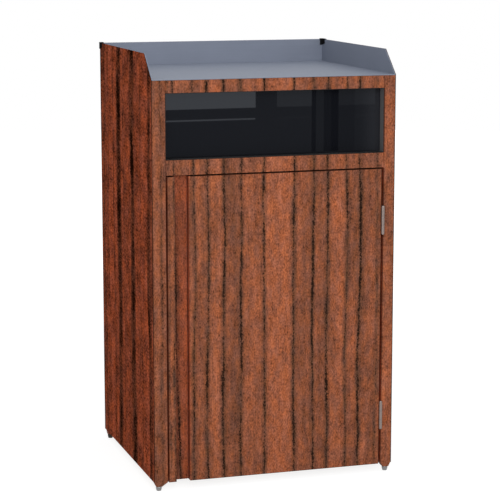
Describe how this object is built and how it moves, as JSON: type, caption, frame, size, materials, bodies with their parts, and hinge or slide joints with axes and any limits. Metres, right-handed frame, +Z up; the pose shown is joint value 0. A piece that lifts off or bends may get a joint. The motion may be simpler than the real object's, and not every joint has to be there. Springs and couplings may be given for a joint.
{
  "type": "waste station",
  "caption": "Free-standing waste station: wood-grain laminate cabinet with a galleried tray deck, a push flap, a hinged door with a finger groove, levelling feet and an inner bin.",
  "frame": {"origin": "on the floor, under the middle of the bounding box", "axes": "+Z up, the front with flap and door faces -Y, +X to the right as seen from the front"},
  "size_m": [0.6766, 0.5928, 1.1578],
  "materials": {
    "laminate": "dark reddish-brown wood-grain laminate, satin",
    "core_board": "raw board",
    "satin_steel": "satin",
    "hardware": "zinc plated",
    "hanger_aluminium": "mill finish",
    "smoked_acrylic": "dark smoked, glossy",
    "black_plastic": "moulded",
    "nylon": "moulded",
    "rubber": "matt",
    "bin_plastic": "moulded, fine texture"
  },
  "bodies": {
    "cabinet": {"bottom_panel": "core_board", "back_core": "core_board", "side_core_left": "core_board", "side_core_right": "core_board", "back_laminate": "laminate", "side_laminate_left": "laminate", "side_laminate_right": "laminate", "front_stile_left": "laminate", "front_stile_right": "laminate", "top_rail": "laminate", "middle_rail": "laminate", "deck_pan": "satin_steel", "corner_cap_left": "black_plastic", "corner_cap_right": "black_plastic", "hinge_upper_frame_leaf": "hardware", "hinge_upper_pin": "hardware", "hinge_upper_frame_screw_top": "hardware", "hinge_upper_frame_screw_bottom": "hardware", "hinge_lower_frame_leaf": "hardware", "hinge_lower_pin": "hardware", "hinge_lower_frame_screw_top": "hardware", "hinge_lower_frame_screw_bottom": "hardware", "flap_bracket_left": "hardware", "flap_bracket_right": "hardware", "flap_bracket_screw_left_top": "hardware", "flap_bracket_screw_left_bottom": "hardware", "flap_bracket_screw_right_top": "hardware", "flap_bracket_screw_right_bottom": "hardware", "flap_bush_left": "nylon", "flap_bush_right": "nylon", "flap_bumper_left": "rubber", "flap_bumper_right": "rubber", "catch_body": "black_plastic", "catch_screw_left": "hardware", "catch_screw_right": "hardware", "foot_block_back_left": "laminate", "foot_block_back_right": "laminate", "foot_insert_front_left": "hardware", "foot_insert_front_right": "hardware", "foot_insert_back_left": "hardware", "foot_insert_back_right": "hardware"},
    "door": {"door_panel": "laminate", "door_pull_strip": "laminate", "door_groove_liner": "laminate", "door_back_sheet": "satin_steel", "hinge_upper_door_leaf": "hardware", "hinge_upper_door_screw_top": "hardware", "hinge_upper_door_screw_bottom": "hardware", "hinge_lower_door_leaf": "hardware", "hinge_lower_door_screw_top": "hardware", "hinge_lower_door_screw_bottom": "hardware", "catch_strike": "hardware"},
    "flap": {"flap_panel": "smoked_acrylic", "flap_hanger": "hanger_aluminium", "flap_pivot_rod": "hardware"},
    "bin": {"waste_bin": "bin_plastic"},
    "foot_front_left": {"foot_front_left": "hardware"},
    "foot_front_right": {"foot_front_right": "hardware"},
    "foot_back_left": {"foot_back_left": "hardware"},
    "foot_back_right": {"foot_back_right": "hardware"}
  },
  "joints": [
    {"name": "door_hinge", "type": "hinge", "parent": "cabinet", "child": "door", "pos_m": [0.3022, -0.29177, 0.022], "axis": [0, 0, 1], "range_deg": [0, 170]},
    {"name": "flap_swing", "type": "hinge", "parent": "cabinet", "child": "flap", "pos_m": [0, -0.25093, 1.0785], "axis": [1, 0, 0], "range_deg": [0, 65]},
    {"name": "bin_slide", "type": "slide", "parent": "cabinet", "child": "bin", "axis": [0, -1, 0], "range_m": [0, 0.03]},
    {"name": "foot_front_left_height", "type": "slide", "parent": "cabinet", "child": "foot_front_left", "axis": [0, 0, -1], "range_m": [0, 0.012]},
    {"name": "foot_front_right_height", "type": "slide", "parent": "cabinet", "child": "foot_front_right", "axis": [0, 0, -1], "range_m": [0, 0.012]},
    {"name": "foot_back_left_height", "type": "slide", "parent": "cabinet", "child": "foot_back_left", "axis": [0, 0, -1], "range_m": [0, 0.012]},
    {"name": "foot_back_right_height", "type": "slide", "parent": "cabinet", "child": "foot_back_right", "axis": [0, 0, -1], "range_m": [0, 0.012]}
  ]
}
